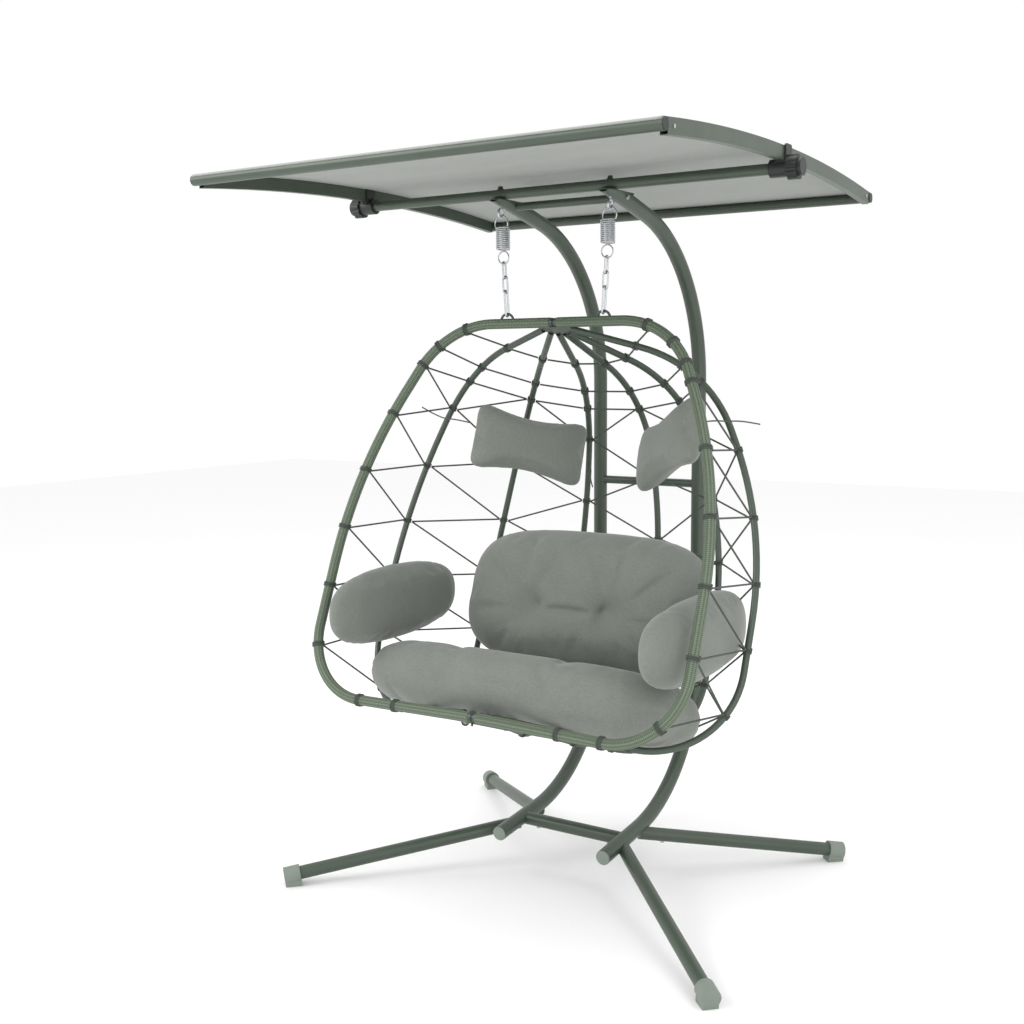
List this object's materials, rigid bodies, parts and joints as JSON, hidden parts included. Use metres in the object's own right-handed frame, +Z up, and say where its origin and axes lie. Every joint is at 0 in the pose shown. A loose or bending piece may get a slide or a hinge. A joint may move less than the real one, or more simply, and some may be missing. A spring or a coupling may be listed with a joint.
{
  "type": "hanging_swing_seat",
  "caption": "Hanging double basket swing chair with a woven-wrap frame, cushions, spring hangers, a twin C-shaped steel stand and a tilting square canopy",
  "frame": {"origin": "On the floor, at the middle of the whole object's footprint, straight below the canopy beam that the basket also hangs from.", "axes": "+Z up, -Y the way the sitter faces, +X to the right of a person looking at the front of the swing."},
  "size_m": [1.3868, 1.3766, 2.0053],
  "materials": {
    "frame_green": "satin powder coat, dark green",
    "leaf_wrap": "fine braided resin wrap, two greens",
    "net_cord": "matt dark grey cord",
    "black_plastic": "matt moulded",
    "grey_plastic": "matt moulded, pale grey-green",
    "zinc": "bright zinc plate",
    "melange_fabric": "grey-green woven polyester",
    "canopy_cloth": "grey-green woven polyester",
    "dark_tape": "woven tape"
  },
  "bodies": {
    "stand": {"back_left_leg": "frame_green", "back_right_leg": "frame_green", "base_cross_tube": "frame_green", "beam_end_nuts": "black_plastic", "beam_saddles": "frame_green", "canopy_beam": "frame_green", "eye_bolt_nuts": "zinc", "eye_bolts": "zinc", "foot_caps": "grey_plastic", "frame_bolts": "zinc", "front_left_leg": "frame_green", "front_right_leg": "frame_green", "left_lower_curve": "frame_green", "left_upper_curve": "frame_green", "lower_end_plugs": "grey_plastic", "mid_cross_tube": "frame_green", "right_lower_curve": "frame_green", "right_upper_curve": "frame_green", "top_cross_tube": "frame_green"},
    "canopy": {"left_canopy_arm": "frame_green", "right_canopy_arm": "frame_green", "canopy_front_tube": "frame_green", "canopy_rear_tube": "frame_green", "canopy_end_caps": "black_plastic", "canopy_screws": "zinc", "canopy_fabric": "canopy_cloth", "left_tilt_bracket": "black_plastic", "right_tilt_bracket": "black_plastic"},
    "left_knob": {"left_tilt_knob": "black_plastic"},
    "right_knob": {"right_tilt_knob": "black_plastic"},
    "springs": {"spring_top_loops": "zinc", "left_spring_coil": "zinc", "right_spring_coil": "zinc"},
    "spring_ends": {"spring_bottom_loops": "zinc"},
    "left_chain": {"left_chain_links": "zinc"},
    "right_chain": {"right_chain_links": "zinc"},
    "clips": {"left_clip": "zinc", "right_clip": "zinc"},
    "basket": {"left_basket_rim": "frame_green", "right_basket_rim": "frame_green", "rim_wraps": "leaf_wrap", "rim_eyes": "frame_green", "rim_joiners": "black_plastic", "basket_hubs": "frame_green", "side_basket_ribs": "frame_green", "middle_basket_ribs": "frame_green", "rear_basket_ribs": "frame_green", "left_net_cords": "net_cord", "middle_net_cords": "net_cord", "right_net_cords": "net_cord", "net_bindings": "net_cord", "seat_cushion": "melange_fabric", "back_cushion": "melange_fabric", "left_arm_cushion": "melange_fabric", "right_arm_cushion": "melange_fabric", "left_head_pillow": "melange_fabric", "right_head_pillow": "melange_fabric", "left_outer_tie": "dark_tape", "left_inner_tie": "dark_tape", "right_outer_tie": "dark_tape"}
  },
  "joints": [
    {"name": "canopy_tilt", "type": "hinge", "parent": "stand", "child": "canopy", "pos_m": [0, 0, 1.95], "axis": [1, 0, 0], "range_deg": [-15, 25]},
    {"name": "left_knob_turn", "type": "hinge", "parent": "stand", "child": "left_knob", "pos_m": [-0.65, 0, 1.95], "axis": [1, 0, 0], "continuous": true},
    {"name": "right_knob_turn", "type": "hinge", "parent": "stand", "child": "right_knob", "pos_m": [0.65, 0, 1.95], "axis": [1, 0, 0], "continuous": true},
    {"name": "swing", "type": "hinge", "parent": "stand", "child": "springs", "pos_m": [0, 0, 1.8933], "axis": [1, 0, 0], "range_deg": [-20, 4.5]},
    {"name": "bounce", "type": "slide", "parent": "springs", "child": "spring_ends", "axis": [0, 0, 1], "range_m": [-0.04, 0.012], "stiffness_N_per_m": 16000, "springref_m": 0.0326, "deforming": ["left_spring_coil", "right_spring_coil"]},
    {"name": "left_sway", "type": "hinge", "parent": "spring_ends", "child": "left_chain", "pos_m": [-0.16207, 0, 1.76677], "axis": [0, 1, 0], "range_deg": [-15, 15]},
    {"name": "right_sway", "type": "hinge", "parent": "spring_ends", "child": "right_chain", "pos_m": [0.16207, 0, 1.76677], "axis": [0, 1, 0], "range_deg": [-15, 15]},
    {"name": "clip_level", "type": "hinge", "parent": "left_chain", "child": "clips", "pos_m": [-0.15652, 0, 1.68801], "axis": [0, 1, 0], "range_deg": [-16, 16]},
    {"name": "tip", "type": "hinge", "parent": "clips", "child": "basket", "pos_m": [0, 0, 1.624], "axis": [1, 0, 0], "range_deg": [-8, 1.5]}
  ],
  "couplings": [
    {"joint": "right_sway", "follows": "left_sway", "ratio": 1},
    {"joint": "clip_level", "follows": "left_sway", "ratio": -1.0356}
  ]
}
